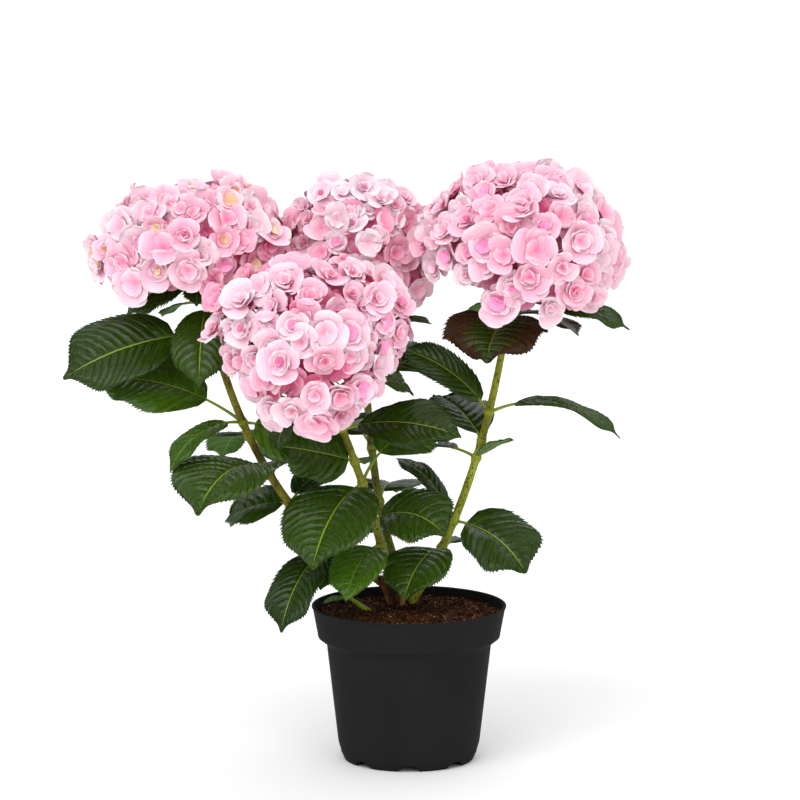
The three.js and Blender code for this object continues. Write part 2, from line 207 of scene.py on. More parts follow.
# Nodes whose leaves are paler than the rest, by how many greens, and the one with bronze leaves.
PALER = {
    ("left", 402): 2,
    ("front", 256): 2,
    ("front", 286): 1,
    ("front", 333): 2,
    ("front", 361): 1,
    ("right", 248): 1,
}
BRONZED = ("right", 526)

SHOOT = {
    "foot": (-46, -10, GROUND - 4),
    "tip": (-70, -14, 196),
    "radii": (4, 2.2),
    "leaf": (200, 20, -30, 5, 32, 17, 0),
}

# ---- Small maths ---------------------------------------------------------------------------------


def lerp(a, b, t):
    return a + (b - a) * t


def clamp(x, low=0.0, high=1.0):
    return max(low, min(high, x))


def smooth(low, high, x):
    t = clamp((x - low) / (high - low))
    return t * t * (3 - 2 * t)


def bezier(points, t):
    """The point at t on a Bezier line through or towards any number of points."""
    row = [Vector(p) for p in points]
    while len(row) > 1:
        row = [a.lerp(b, t) for a, b in zip(row, row[1:])]
    return row[0]


def sampled(points, steps):
    """Even steps along a Bezier line, both ends included."""
    return [bezier(points, i / steps) for i in range(steps + 1)]


def share_at_height(points, height):
    """How far along a rising Bezier line a height is reached."""
    low, high = 0.0, 1.0
    for _ in range(30):
        middle = (low + high) / 2
        if bezier(points, middle).z < height:
            low = middle
        else:
            high = middle
    return (low + high) / 2


def along(points, t):
    """The direction of a Bezier line at t."""
    return (bezier(points, min(t + 0.005, 1)) - bezier(points, max(t - 0.005, 0))).normalized()


def rough(point, scale, seed=0.0):
    """Smooth noise from -1 to 1, over lengths of about 1 / scale millimetres."""
    return noise.noise(Vector(point) * scale + Vector((seed, seed * 1.7, seed * 0.3)))


# ---- Meshes --------------------------------------------------------------------------------------


class Pile:
    """Points, faces and the tone of each face, in millimetres, until they are made into one piece."""

    def __init__(self):
        self.points = []
        self.faces = []
        self.tones = []

    def add(self, points, faces, tones):
        first = len(self.points)
        self.points.extend(points)
        self.faces.extend([first + i for i in face] for face in faces)
        self.tones.extend(tones if isinstance(tones, list) else [tones] * len(faces))

    def made(self, name, materials, slot, nodes):
        mesh = bpy.data.meshes.new(name)
        mesh.from_pydata([p * MM for p in self.points], [], self.faces)
        for material in materials:
            mesh.materials.append(material)
        mesh.polygons.foreach_set("material_index", self.tones)
        mesh.polygons.foreach_set("use_smooth", [True] * len(self.faces))
        mesh.update()
        piece = bpy.data.objects.new(name, mesh)
        bpy.context.scene.collection.objects.link(piece)
        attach(piece, "root")
        if nodes:
            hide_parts(*nodes)
        return piece


def strip_faces(rows, columns, closed=False):
    """The quads between neighbouring rows of points. A closed row joins its last point to its first."""
    faces = []
    for r in range(rows - 1):
        for c in range(columns if closed else columns - 1):
            d = (c + 1) % columns
            faces.append((r * columns + c, r * columns + d, (r + 1) * columns + d, (r + 1) * columns + c))
    return faces


def add_tube(pile, line, radius_at, sides, across, tone, relief=None):
    """A round limb along a line of points. across is a direction that the line never runs along."""
    rings = []
    last = len(line) - 1
    for i, point in enumerate(line):
        tangent = (line[min(i + 1, last)] - line[max(i - 1, 0)]).normalized()
        first = across.cross(tangent).normalized()
        second = tangent.cross(first)
        radius = radius_at(i / last)
        for k in range(sides):
            angle = 2 * math.pi * k / sides
            out = first * math.cos(angle) + second * math.sin(angle)
            bulge = relief(point + out * radius, i / last, angle) if relief else 0
            rings.append(point + out * (radius + bulge))
    faces = strip_faces(len(line), sides, closed=True)
    ends = [list(range(sides))[::-1], [last * sides + k for k in range(sides)]]
    pile.add(rings, faces + ends, tone)


# ---- Materials -----------------------------------------------------------------------------------


GRAIN_DEPTH = 0.0006  # metres


def linear(code):
    """A #rrggbb colour as the linear values that shaders take."""
    values = [int(code[i:i + 2], 16) / 255 for i in (1, 3, 5)]
    return tuple(v / 12.92 if v <= 0.04045 else ((v + 0.055) / 1.055) ** 2.4 for v in values) + (1,)


def plain(name, color, roughness, **sockets):
    """A material whose values are all set on the shader itself."""
    material = bpy.data.materials.new(name)
    material.use_nodes = True
    shader = material.node_tree.nodes["Principled BSDF"]
    shader.inputs["Base Color"].default_value = linear(color)
    shader.inputs["Roughness"].default_value = roughness
    for socket, value in sockets.items():
        shader.inputs[socket.replace("_", " ")].default_value = value
    return material


def noise_ramp(nodes, links, places, scale, detail, colors, sharp):
    """A colour ramp that noise runs through, over lengths of about 1 / scale metres."""
    blotches = nodes.new("ShaderNodeTexNoise")
    blotches.inputs["Scale"].default_value = scale
    blotches.inputs["Detail"].default_value = detail
    links.new(places, blotches.inputs["Vector"])
    ramp = nodes.new("ShaderNodeValToRGB")
    ends = ramp.color_ramp.elements
    ends[0].position, ends[1].position = sharp
    ends[0].color, ends[1].color = colors[0], colors[-1]
    for i, color in enumerate(colors[1:-1]):
        ends.new(lerp(sharp[0], sharp[1], (i + 1) / (len(colors) - 1))).color = color
    links.new(blotches.outputs["Fac"], ramp.inputs["Fac"])
    return ramp.outputs["Color"]


def patterned(
    name, colors, roughness, scale, bump, bump_scale,
    sharp=(0.35, 0.65), stretch=(1, 1, 1), fleck=None, **sockets
):
    """A material whose colour runs through a ramp by noise, with a fine relief and, if asked, dark flecks.

    scale and bump_scale are the waves of the colour and of the relief in a metre, and bump is its strength.
    """
    material = plain(name, colors[0], roughness, **sockets)
    nodes, links = material.node_tree.nodes, material.node_tree.links
    shader = nodes["Principled BSDF"]
    mapping = nodes.new("ShaderNodeMapping")
    mapping.inputs["Scale"].default_value = stretch
    links.new(nodes.new("ShaderNodeTexCoord").outputs["Object"], mapping.inputs["Vector"])
    places = mapping.outputs["Vector"]
    color = noise_ramp(nodes, links, places, scale, 5, [linear(code) for code in colors], sharp)
    if fleck:
        mix = nodes.new("ShaderNodeMix")
        mix.data_type = "RGBA"
        black_to_white = [(0, 0, 0, 1), (1, 1, 1, 1)]
        masked = noise_ramp(nodes, links, places, fleck["scale"], 2, black_to_white, fleck["sharp"])
        links.new(masked, mix.inputs["Factor"])
        links.new(color, mix.inputs["A"])
        mix.inputs["B"].default_value = linear(fleck["color"])
        color = mix.outputs["Result"]
    links.new(color, shader.inputs["Base Color"])
    grain = nodes.new("ShaderNodeTexNoise")
    grain.inputs["Scale"].default_value = bump_scale
    grain.inputs["Detail"].default_value = 4
    links.new(places, grain.inputs["Vector"])
    relief = nodes.new("ShaderNodeBump")
    relief.inputs["Strength"].default_value = bump
    relief.inputs["Distance"].default_value = GRAIN_DEPTH
    links.new(grain.outputs["Fac"], relief.inputs["Height"])
    links.new(relief.outputs["Normal"], shader.inputs["Normal"])
    return material


BLACK = patterned("black_plastic", ["#1e1e1f", "#212122"], 0.7, 14, 0.2, 900, Specular_IOR_Level=0.04)
EARTH = patterned("compost", ["#170b06", "#3a1f12", "#603a25"], 0.95, 160, 1.0, 700, Specular_IOR_Level=0.1)
CRUMBS = [
    patterned("crumb_dark", ["#1a0c06", "#351c10"], 0.95, 300, 0.8, 900, Specular_IOR_Level=0.1),
    patterned("crumb_brown", ["#381d0f", "#59341e"], 0.9, 300, 0.8, 900, Specular_IOR_Level=0.1),
    patterned("crumb_tan", ["#69401f", "#936a43"], 0.9, 300, 0.8, 900, Specular_IOR_Level=0.1),
    plain("speck", "#d9d3c4", 0.8),
]
BARK = patterned(
    "old_bark", ["#3a2213", "#6d4427", "#9a7046"], 0.85, 90, 1.0, 420,
    stretch=(1, 1, 0.3), Specular_IOR_Level=0.15
)


def cane_bark(name, colors):
    fleck = {"color": "#2f230e", "scale": 620, "sharp": (0.58, 0.65)}
    return patterned(name, colors, 0.5, 60, 0.4, 700, (0.3, 0.7), (1, 1, 0.4), fleck, Specular_IOR_Level=0.2)


CANE_BARKS = {
    "left": cane_bark("brown_cane", ["#574c13", "#7c721a", "#979628"]),
    "front": cane_bark("olive_cane", ["#5f5c13", "#7e811d", "#989d2c"]),
    "back": cane_bark("dark_cane", ["#4e4d10", "#6c701a", "#848a27"]),
    "right": cane_bark("green_cane", ["#727518", "#888d22", "#a2a834"]),
}
NODE_BARK = plain("node_bark", "#8a9426", 0.5, Specular_IOR_Level=0.2)

# The greens run from deep shade to fresh growth, each with a vein a little lighter than itself.
# A face's tone is the place of its material in a list such as FOLIAGE.
GREENS = ["#1e3205", "#263b07", "#2f4809", "#38560d", "#446612", "#527818"]
VEINS = ["#283e0a", "#304a0d", "#395710", "#456616", "#52761b", "#618724"]
STALK, MIDRIB, BELOW, BELOW_VEIN, BRONZE, BRONZE_VEIN, FIRST_GREEN = 0, 1, 2, 3, 4, 5, 6
FIRST_VEIN = FIRST_GREEN + len(GREENS)
FOLIAGE = [
    plain("stalk", "#849628", 0.45, Specular_IOR_Level=0.2),
    plain("midrib", "#80962c", 0.45, Specular_IOR_Level=0.2),
    plain("leaf_underside", "#4a6b2c", 0.6, Specular_IOR_Level=0.1),
    plain("underside_vein", "#6f8c45", 0.6, Specular_IOR_Level=0.1),
    plain("bronze_leaf", "#33210e", 0.4, Specular_IOR_Level=0.12),
    plain("bronze_vein", "#59601f", 0.45, Specular_IOR_Level=0.12),
]
FOLIAGE += [plain(f"leaf_green_{i}", code, 0.25, Specular_IOR_Level=0.25) for i, code in enumerate(GREENS)]
FOLIAGE += [plain(f"leaf_vein_{i}", code, 0.27, Specular_IOR_Level=0.25) for i, code in enumerate(VEINS)]

# The pinks run from a deep rose, which on the deepest sepals is painted shade, to the pale rims. The numbers
# are places in PETALS.
PINKS = [
    "#e65c8e", "#ea6c9a", "#ed7da6", "#f090b2", "#f2a1bc", "#f3aec6",
    "#f4bbcf", "#f4c7d7", "#f3d2de", "#f2dce4", "#f1e4ea",
]
RAY, CREAM, PEACH, LILAC, FIRST_PINK = 0, 1, 2, 3, 4
PETALS = [
    plain("flower_ray", "#a9a04e", 0.5),
    plain("cream_heart", "#f8e3c4", 0.6, Specular_IOR_Level=0.15),
    plain("peach_heart", "#f4bd9c", 0.6, Specular_IOR_Level=0.15),
    plain("lilac_heart", "#f6a6cf", 0.6, Specular_IOR_Level=0.15),
] + [plain(f"sepal_pink_{i}", code, 0.6, Specular_IOR_Level=0.15) for i, code in enumerate(PINKS)]

# ---- Pot -----------------------------------------------------------------------------------------


POT_SEGMENTS = 144
SHARP_EDGE = math.radians(35)


def lathe(profile, segments):
    """A solid of revolution about +Z. The (radius, height) pairs run up the outside and down the inside."""
    points = []
    for radius, height in profile:
        for k in range(segments):
            angle = 2 * math.pi * k / segments
            points.append(Vector((radius * math.cos(angle), radius * math.sin(angle), height)))
    faces = strip_faces(len(profile), segments, closed=True)
    underside = list(range(segments))[::-1]
    floor = [(len(profile) - 1) * segments + k for k in range(segments)]
    return points, faces + [underside, floor]


def rounded(centre, radius, start, stop, steps):
    """An arc of the profile round a centre, between two angles in degrees."""
    arc = []
    for i in range(steps + 1):
        angle = math.radians(lerp(start, stop, i / steps))
        arc.append((centre[0] + radius * math.cos(angle), centre[1] + radius * math.sin(angle)))
    return arc


def pot_profile():
    """Half of the pot's section, with the small roundings of its edges."""
    p = POT
    lip = p["lip_height"] / 2
    rim = p["rim_radius"]
    foot_line = 9
    foot_radius = lerp(p["base_radius"], p["body_foot_radius"], foot_line / p["body_foot"])
    outside = [
        (p["base_radius"] - 2.5, 0),
        (p["base_radius"] - 1.6, 0.3),
        (p["base_radius"] - 0.4, 1.6),
        (p["base_radius"], p["corner_height"]),
        (foot_radius - 0.3, foot_line - 0.6),
        (foot_radius + 0.3, foot_line),
        (foot_radius + 0.2, foot_line + 0.8),
        (p["body_foot_radius"], p["body_foot"]),
        (p["body_foot_radius"] + 0.5, p["body_foot"] + 3),
        (p["body_top_radius"] - 0.3, p["body_top"] - 3),
        (p["body_top_radius"] + 0.5, p["body_top"] - 0.5),
        (p["body_top_radius"] + 2.5, p["body_top"] + 1.6),
        (p["collar_foot_radius"] - 2.4, p["collar_foot"] - 2),
        (p["collar_foot_radius"] - 0.5, p["collar_foot"] - 0.6),
        (p["collar_foot_radius"], p["collar_foot"] + 1),
        (p["collar_foot_radius"] + 0.2, p["collar_foot"] + 3),
        (rim - p["lip"] - 0.3, p["height"] - p["lip_height"] - 2.4),
        (rim - p["lip"], p["height"] - p["lip_height"] - 0.6),
        *rounded((rim - lip, p["height"] - lip), lip, -70, 110, 8),
    ]
    inside = [
        (rim - p["lip"] - p["wall"] - 0.4, p["height"] - 0.8),
        (rim - p["lip"] - p["wall"] - 0.8, p["height"] - 3),
        (p["collar_foot_radius"] - p["wall"], p["collar_foot"]),
        (p["body_top_radius"] - p["wall"], p["body_top"] - 1),
        (p["body_foot_radius"] - p["wall"], p["body_foot"]),
        (p["base_radius"] - p["wall"] - 1, 9.5),
        (45, 9.5),
        (43, 2.2),
    ]
    return outside + inside


def drain_channels():
    """Trapezium channels that drain the underside, each out through the foot."""
    mouth, roof = DRAIN["mouth"] / 2, DRAIN["roof"] / 2
    shape = [(-mouth, -1), (mouth, -1), (roof, DRAIN["height"]), (-roof, DRAIN["height"])]
    points, faces = [], []
    for i in range(DRAIN["count"]):
        turn = Matrix.Rotation(2 * math.pi * i / DRAIN["count"], 3, "Z")
        first = len(points)
        for distance in (DRAIN["inner_radius"], POT["rim_radius"]):
            points.extend(turn @ Vector((x, -distance, z)) for x, z in shape)
        for a in range(4):
            b = (a + 1) % 4
            faces.append([first + a, first + b, first + 4 + b, first + 4 + a])
        faces.append([first + 3, first + 2, first + 1, first])
        faces.append([first + 4, first + 5, first + 6, first + 7])
    return points, faces


def turn_outward(mesh):
    """Makes all the faces of a closed mesh look outward."""
    shape = bmesh.new()
    shape.from_mesh(mesh)
    bmesh.ops.recalc_face_normals(shape, faces=shape.faces)
    shape.to_mesh(mesh)
    shape.free()


def cut_away(piece, tool):
    """Cuts one object out of another, and removes the tool."""
    cut = piece.modifiers.new("cut", "BOOLEAN")
    cut.object = tool
    cut.operation = "DIFFERENCE"
    cut.solver = "EXACT"
    evaluated = piece.evaluated_get(bpy.context.evaluated_depsgraph_get())
    mesh = bpy.data.meshes.new_from_object(evaluated)
    piece.modifiers.clear()
    piece.data = mesh
    bpy.data.objects.remove(tool)


def make_pot():
    pile = Pile()
    points, faces = lathe(pot_profile(), POT_SEGMENTS)
    pile.add(points, faces, 0)
    pot = pile.made("pot_shell", [BLACK], "plastic", ["pot"])
    points, faces = drain_channels()
    mesh = bpy.data.meshes.new("drain")
    mesh.from_pydata([p * MM for p in points], [], faces)
    tool = bpy.data.objects.new("drain", mesh)
    bpy.context.scene.collection.objects.link(tool)
    turn_outward(pot.data)
    turn_outward(mesh)
    cut_away(pot, tool)
    pot.data.shade_smooth()
    pot.data.set_sharp_from_angle(angle=SHARP_EDGE)


# ---- Soil ----------------------------------------------------------------------------------------


SOIL_MESH = {"rings": 56, "segments": 150, "overlap": 0.6}
# The compost's lumps, from broad to fine: how high they are, where in the noise they are cut, their waves a
# millimetre, and a seed.
LUMPS = ((1.6, 0, 0.07, 3), (1.3, 9, 0.19, 5), (0.6, 4, 0.5, 8))
CRUMB_COUNT = 3600
DARK_CRUMB, BROWN_CRUMB, TAN_CRUMB, SPECK = 1, 2, 3, 4
CRUMB_CORNERS = ((1, 0, 0), (0, 1, 0), (-1, 0, 0), (0, -1, 0), (0, 0, 1), (0, 0, -1))
CRUMB_FACES = ((0, 1, 4), (1, 2, 4), (2, 3, 4), (3, 0, 4), (1, 0, 5), (2, 1, 5), (3, 2, 5), (0, 3, 5))


def soil_height(x, y):
    """The compost is mounded under the crown and lower at the wall, and lumpy all over."""
    distance = math.hypot(x, y)
    mound = lerp(SOIL["crest"], SOIL["edge"], smooth(SOIL["crest_radius"], 112, distance))
    lumps = sum(height * rough((x, y, cut), waves, seed) for height, cut, waves, seed in LUMPS)
    return mound - 1.2 + lumps * smooth(113, 104, distance)


def soil_edge():
    """The radius of the pot's inside at the height of the compost's edge."""
    share = (SOIL["edge"] - POT["collar_foot"]) / (POT["height"] - POT["collar_foot"])
    return lerp(POT["collar_foot_radius"], POT["rim_radius"] - POT["lip"], share) - POT["wall"]


def add_crumb(pile, place, size, tone):
    """A small chip of bark or compost: an eight-faced lump, squashed and turned at random."""
    axis = (rng.gauss(0, 1), rng.gauss(0, 1), rng.gauss(0, 1))
    turn = Quaternion(axis, rng.uniform(0, 6.3)).to_matrix()
    stretch = Vector((1, rng.uniform(0.4, 0.9), rng.uniform(0.25, 0.7)))
    points = []
    for corner in CRUMB_CORNERS:
        point = Vector([c * s * size * rng.uniform(0.7, 1.2) for c, s in zip(corner, stretch)])
        points.append(place + turn @ point)
    pile.add(points, CRUMB_FACES, tone)


def crumb_kind():
    """The tone and size of a crumb: most are dark or brown, some are tan, and a few are pale specks."""
    share = rng.random()
    if share < 0.985:
        tone = DARK_CRUMB if share < 0.5 else BROWN_CRUMB if share < 0.86 else TAN_CRUMB
        size = rng.uniform(0.9, 2.6)
    else:
        tone = SPECK
        size = rng.uniform(0.6, 1.1)
    if rng.random() < 0.03 and tone != SPECK:
        size *= 2
    return tone, size


def add_soil_surface(pile, edge):
    """Rings of points round the middle of the compost."""
    rings, segments = SOIL_MESH["rings"], SOIL_MESH["segments"]
    points = [Vector((0, 0, soil_height(0, 0)))]
    for r in range(1, rings + 1):
        radius = edge * r / rings
        for k in range(segments):
            angle = 2 * math.pi * k / segments
            x, y = radius * math.cos(angle), radius * math.sin(angle)
            points.append(Vector((x, y, soil_height(x, y))))
    faces = [(0, 1 + k, 1 + (k + 1) % segments) for k in range(segments)]
    for face in strip_faces(rings, segments, closed=True):
        faces.append([i + 1 for i in face[::-1]])
    pile.add(points, faces, 0)


def make_soil():
    pile = Pile()
    edge = soil_edge() + SOIL_MESH["overlap"]
    add_soil_surface(pile, edge)
    for _ in range(CRUMB_COUNT):
        radius = edge * math.sqrt(rng.random()) * 0.985
        angle = rng.uniform(0, 2 * math.pi)
        x, y = radius * math.cos(angle), radius * math.sin(angle)
        tone, size = crumb_kind()
        add_crumb(pile, Vector((x, y, soil_height(x, y) + size * 0.25)), size, tone)
    soil = pile.made("compost_surface", [EARTH] + CRUMBS, "compost", ["soil"])
    soil.data.polygons.foreach_set("use_smooth", [tone == 0 for tone in pile.tones])


# ---- Crown and canes -----------------------------------------------------------------------------


CROWN_MESH = {"steps": 34, "sides": 26}
CANE_MESH = {"step": 2.4, "sides": 20}
SWELLING = {"height": 1.7, "length": 4.2}
PALE_BAND = 1.8  # how far along the cane the paler bark of a node reaches, to either side


def add_stub(pile, name, seed):
    """One of the crown's gnarled stubs, which bends from the shared foot into the line of its cane."""
    line = CANES[name]["line"]
    cane_foot = Vector(line[0])
    direction = along(line, 0)
    root = Vector(CROWN["foot"]) - UP * 5
    bend = cane_foot - direction * CROWN["bend"]
    tip = cane_foot - direction * 0.3

    def relief(point, t, angle):
        ridges = 0.5 * math.sin(angle * 5 + 3 * rough(point, 0.05, seed))
        return ridges + 0.9 * rough(point, 0.16, seed) + 0.5 * rough(point, 0.45, seed) - 0.4

    def radius_at(t):
        return lerp(CROWN["foot_radius"], CROWN["stub_radius"], t)

    path = sampled([root, bend, tip], CROWN_MESH["steps"])
    add_tube(pile, path, radius_at, CROWN_MESH["sides"], AWAY, 0, relief)


def make_crown():
    pile = Pile()
    for seed, name in enumerate(CROWN["canes"]):
        add_stub(pile, name, seed)
    pile.made("crown_bark", [BARK], "old_bark", ["woody_crown"])


def make_cane(name):
    """A tapering cane that swells at each node, where a band of paler bark goes round it."""
    pile = Pile()
    line = CANES[name]["line"]
    radii = CANES[name]["radii"]
    nodes = [share_at_height(line, height) for height, _ in LEAVES[name]]
    measured = sampled(line, 40)
    length = sum((b - a).length for a, b in zip(measured, measured[1:]))

    def relief(point, t, angle):
        spread = SWELLING["length"]
        swelling = sum(SWELLING["height"] * math.exp(-(((t - s) * length / spread) ** 2)) for s in nodes)
        ridges = 0.12 * math.sin(angle * 6 + 2 * rough(point, 0.03, 6))
        return swelling + 0.25 * rough(point, 0.22, 2) + ridges

    steps = round(length / CANE_MESH["step"])
    sides = CANE_MESH["sides"]
    add_tube(pile, sampled(line, steps), lambda t: lerp(*radii, t), sides, AWAY, 0, relief)
    for face in range(steps * sides):
        share = (face // sides + 0.5) / steps
        if min(abs(share - s) for s in nodes) * length < PALE_BAND:
            pile.tones[face] = 1
    pile.made(f"{name}_cane_bark", [CANE_BARKS[name], NODE_BARK], "green_bark", [f"{name}_cane"])


# ---- Leaves --------------------------------------------------------------------------------------


ARC_STEPS = 96


def leaf_from(numbers):
    return dict(zip(LEAF_FIELDS, numbers))


def blade_half_width(share, width):
    """Half the blade's width at a share of its length: an oval that is drawn in to a short point."""
    share = clamp(share)
    shape = share ** 0.53 * (1 - share) ** 0.55 / 0.473
    return 1.03 * width / 2 * shape * (1 - 0.75 * smooth(0.75, 1, share))


def midrib(root, leaf):
    """The leaf's arc as a function: share of its length to point and tangent."""
    steps = ARC_STEPS
    length = leaf["stalk"] + leaf["blade"]
    heading = math.radians(leaf["heading"])
    points, tangents = [Vector(root)], []
    for i in range(steps):
        pitch = math.radians(lerp(leaf["rise"], leaf["fall"], (i + 0.5) / steps))
        out = math.cos(pitch)
        step = Vector((out * math.cos(heading), out * math.sin(heading), math.sin(pitch)))
        tangents.append(step)
        points.append(points[-1] + step * (length / steps))
    tangents.append(tangents[-1])

    def at(share):
        place = clamp(share) * steps
        i = min(int(place), steps - 1)
        tangent = tangents[i].lerp(tangents[i + 1], place - i).normalized()
        return points[i].lerp(points[i + 1], place - i), tangent

    return at


# A blade's columns run along its side veins. Each has its place between two veins, from 0 to 1, and how far
# its tooth stands out. Below, f is a column's place, and p its share of the blade's length at the midrib.
COLUMNS = (
    (0.0, 0.1), (0.035, 0.0), (0.2, 1.0), (0.26, 0.05), (0.5, 0.85), (0.56, 0.05), (0.8, 1.0), (0.86, 0.05),
    (0.965, 0.3),
)
VEIN_SPACING = 11
ROW_COUNT = 22
# The underside, which is hardly puckered, has fewer rows.
UNDER_ROWS = (0.0, 0.03, 0.25, 0.5, 0.75, 0.9, 1.0)
SWEEP = 0.8
TOOTH = 3.2


def blade_rows():
    """Shares of the half width from midrib to margin, close together at both."""
    inner = [0.0, 0.02]
    middle = [lerp(0.06, 0.95, i / (ROW_COUNT - 4)) for i in range(ROW_COUNT - 3)]
    return inner + middle + [1.0]


def blade_columns(length):
    """Each column's share of the length at the midrib, its place between two side veins, and its tooth."""
    bands = max(5, round(length / VEIN_SPACING))
    columns = [((b + f) / bands, f, tooth) for b in range(bands) for f, tooth in COLUMNS]
    return columns + [(1.0, 0.0, 0.0)]


def swept(p, across):
    """How far along the blade a column from p on the midrib has come, part of the way across."""
    return clamp(p + SWEEP * (0.45 * across + 0.55 * across ** 2.4) * math.sqrt(p) * (1 - p))


def column_stretch(p):
    """How far apart the sweep sets the columns at the margin, over their spacing at the midrib."""
    return 1 + SWEEP * (0.5 / math.sqrt(max(p, 0.02)) - 1.5 * math.sqrt(p))


def puckers(row, deep):
    """How much of the quilting a row has: more and less by turns above, and little underneath."""
    return 0.2 if deep else 0.65 + (0.4 if row % 2 else -0.2) * rng.uniform(0.4, 1.5)


class Blade:
    """A blade, quilted between side veins that sweep towards its tip, puckered, waved and toothed."""

    def __init__(self, at, leaf):
        heading = math.radians(leaf["heading"])
        self.at = at
        self.width = leaf["width"]
        self.level = Vector((-math.sin(heading), math.cos(heading), 0))
        self.stalk_share = leaf["stalk"] / (leaf["stalk"] + leaf["blade"])
        self.roll = math.radians(leaf["roll"])
        self.columns = blade_columns(leaf["blade"])
        self.quilt = 0.014 * self.width + 0.6
        self.seed = rng.uniform(0, 50)
        self.waves = rng.uniform(1.2, 2.4)

    def wave(self, sign, across, p):
        """How far the margin waves up and down, on either side of the midrib."""
        phase = math.pi * (self.waves * p * 2 + self.seed + sign * 0.4)
        return 0.05 * self.width * across ** 2.2 * math.sin(phase)

    def place(self, sign, row, across, column, deep):
        """A point of the blade. deep is how far it lies under the upper surface."""
        p, f, tooth = column
        share = swept(p, across)
        half = blade_half_width(share, self.width)
        tapered = min(1, half / 12)
        point, tangent = self.at(lerp(self.stalk_share, 1, share))
        side = Quaternion(tangent, self.roll) @ self.level
        normal = tangent.cross(side)
        spot = point + side * (sign * across * half)
        swell = min(1, across / 0.08) * min(1, (1 - across) / 0.06) * tapered
        lift = half * (LEAF["fold"] * across - LEAF["curl"] * across * across)
        lift += self.quilt * math.sin(math.pi * f) ** 0.8 * swell * puckers(row, deep)
        lift += 0.8 * swell * rough(spot, 0.06, self.seed + 9)
        lift += self.wave(sign, across, p) * tapered
        notch = TOOTH * tapered * smooth(0.93, 1, across) * clamp(column_stretch(p), 0.5, 1.2)
        reach = across * half + notch * (tooth - 0.4) * smooth(0, 0.2, share)
        ahead = notch * 1.1 * tooth
        return point + side * (sign * reach) + normal * (lift - deep * (1 + 1.6 * swell)) + tangent * ahead

    def surface(self, shares, deep):
        """The rows from one margin over the midrib to the other, and their points."""
        rows = [(-1, i, share) for i, share in reversed(list(enumerate(shares))[1:])]
        rows += [(1, i, share) for i, share in enumerate(shares)]
        return rows, [self.place(*row, column, deep) for row in rows for column in self.columns]


def add_blade(pile, at, leaf, tone):
    """The upper side, the underside and the rims that join them."""
    blade = Blade(at, leaf)
    count = len(blade.columns)
    rows, top = blade.surface(blade_rows(), 0)
    faces = [quad[::-1] for quad in strip_faces(len(rows), count)]
    tones = []
    for one, other in zip(rows, rows[1:]):
        across = min(one[2], other[2])
        tones += [blade_tone(tone, across, f, p) for p, f, _ in blade.columns[:-1]]
    under_rows, under = blade.surface(UNDER_ROWS, LEAF["thickness"])
    first_under = len(top)
    faces += [[first_under + i for i in quad] for quad in strip_faces(len(under_rows), count)]
    for one, other in zip(under_rows, under_rows[1:]):
        across = min(one[2], other[2])
        tones += [under_tone(tone, across, f) for _, f, _ in blade.columns[:-1]]
    last_upper = (len(rows) - 1) * count
    last_under = first_under + (len(under_rows) - 1) * count
    for upper, lower, forward in ((0, first_under, True), (last_upper, last_under, False)):
        for c in range(count - 1):
            quad = [upper + c, upper + c + 1, lower + c + 1, lower + c]
            faces.append(quad if forward else quad[::-1])
            tones.append(tone)
    pile.add(top + under, faces, tones)


def on_vein(across, f):
    """Whether a face lies on a side vein."""
    return (f < 0.01 or f > 0.9) and across < 0.8


def under_tone(tone, across, f):
    """The tone of a face of the blade's underside, where midrib and side veins stand out paler."""
    if tone == BRONZE:
        return BRONZE
    return BELOW_VEIN if across < 0.01 or on_vein(across, f) else BELOW


def blade_tone(tone, across, f, p):
    """The tone of a face of the blade's upper side. Its greens are mottled at random: painted highlight
    lightens some faces on the quilted pillows between side veins, and painted shade darkens some faces in
    the furrows and on the veins.
    """
    veined = on_vein(across, f)
    if tone == BRONZE:
        if across < 0.01 or veined and across < 0.6:
            return BRONZE_VEIN
        return BRONZE if across + rng.uniform(-0.14, 0.14) > 0.42 else FIRST_GREEN
    if across < 0.01:
        return MIDRIB
    # Painted light: a face on the pillow between side veins may be one green lighter as a painted highlight,
    # and any other face one green darker as painted shade.
    pillow_highlight_furrow_shade = rng.choice((0, 0, 1) if 0.15 < f < 0.55 else (-1, 0, 0))
    step = clamp(tone - FIRST_GREEN + pillow_highlight_furrow_shade + (p < 0.12 and across < 0.5), 0, len(GREENS) - 1)
    return FIRST_VEIN + step if veined else FIRST_GREEN + step


def add_leaf(pile, root, numbers, tone):
    leaf = leaf_from(numbers)
    at = midrib(root, leaf)
    heading = math.radians(leaf["heading"])
    level = Vector((-math.sin(heading), math.cos(heading), 0))
    total = leaf["stalk"] + leaf["blade"]
    stalk_share = (leaf["stalk"] + 5) / total
    line = [at(stalk_share * i / 8)[0] for i in range(9)]

    def radius_at(t):
        return lerp(*LEAF["stalk_radii"], t ** 0.6)

    add_tube(pile, line, radius_at, 8, level.cross(at(0)[1]), STALK)
    add_blade(pile, at, leaf, tone)


def make_leaves(name):
    pile = Pile()
    line = CANES[name]["line"]
    for height, leaves in LEAVES[name]:
        root = bezier(line, share_at_height(line, height))
        for numbers in leaves:
            fresh = rng.choice((0, 1, 1, 2)) + PALER.get((name, height), 0)
            tone = BRONZE if (name, height) == BRONZED else FIRST_GREEN + fresh
            add_leaf(pile, root, numbers, tone)
    nodes = [f"{name}_leaves_{i + 1}" for i in range(len(LEAVES[name]))]
    pile.made(f"{name}_foliage", FOLIAGE, "leaf", nodes)


def make_shoot():
    pile = Pile()
    foot, tip = Vector(SHOOT["foot"]), Vector(SHOOT["tip"])
    add_tube(pile, sampled([foot, tip], 8), lambda t: lerp(*SHOOT["radii"], t), 12, AWAY, STALK)
    add_leaf(pile, foot.lerp(tip, 0.9), SHOOT["leaf"], FIRST_GREEN + len(GREENS) - 1)
    pile.made("young_shoot_leaf", FOLIAGE, "leaf", ["young_shoot"])


# ---- Blooms --------------------------------------------------------------------------------------


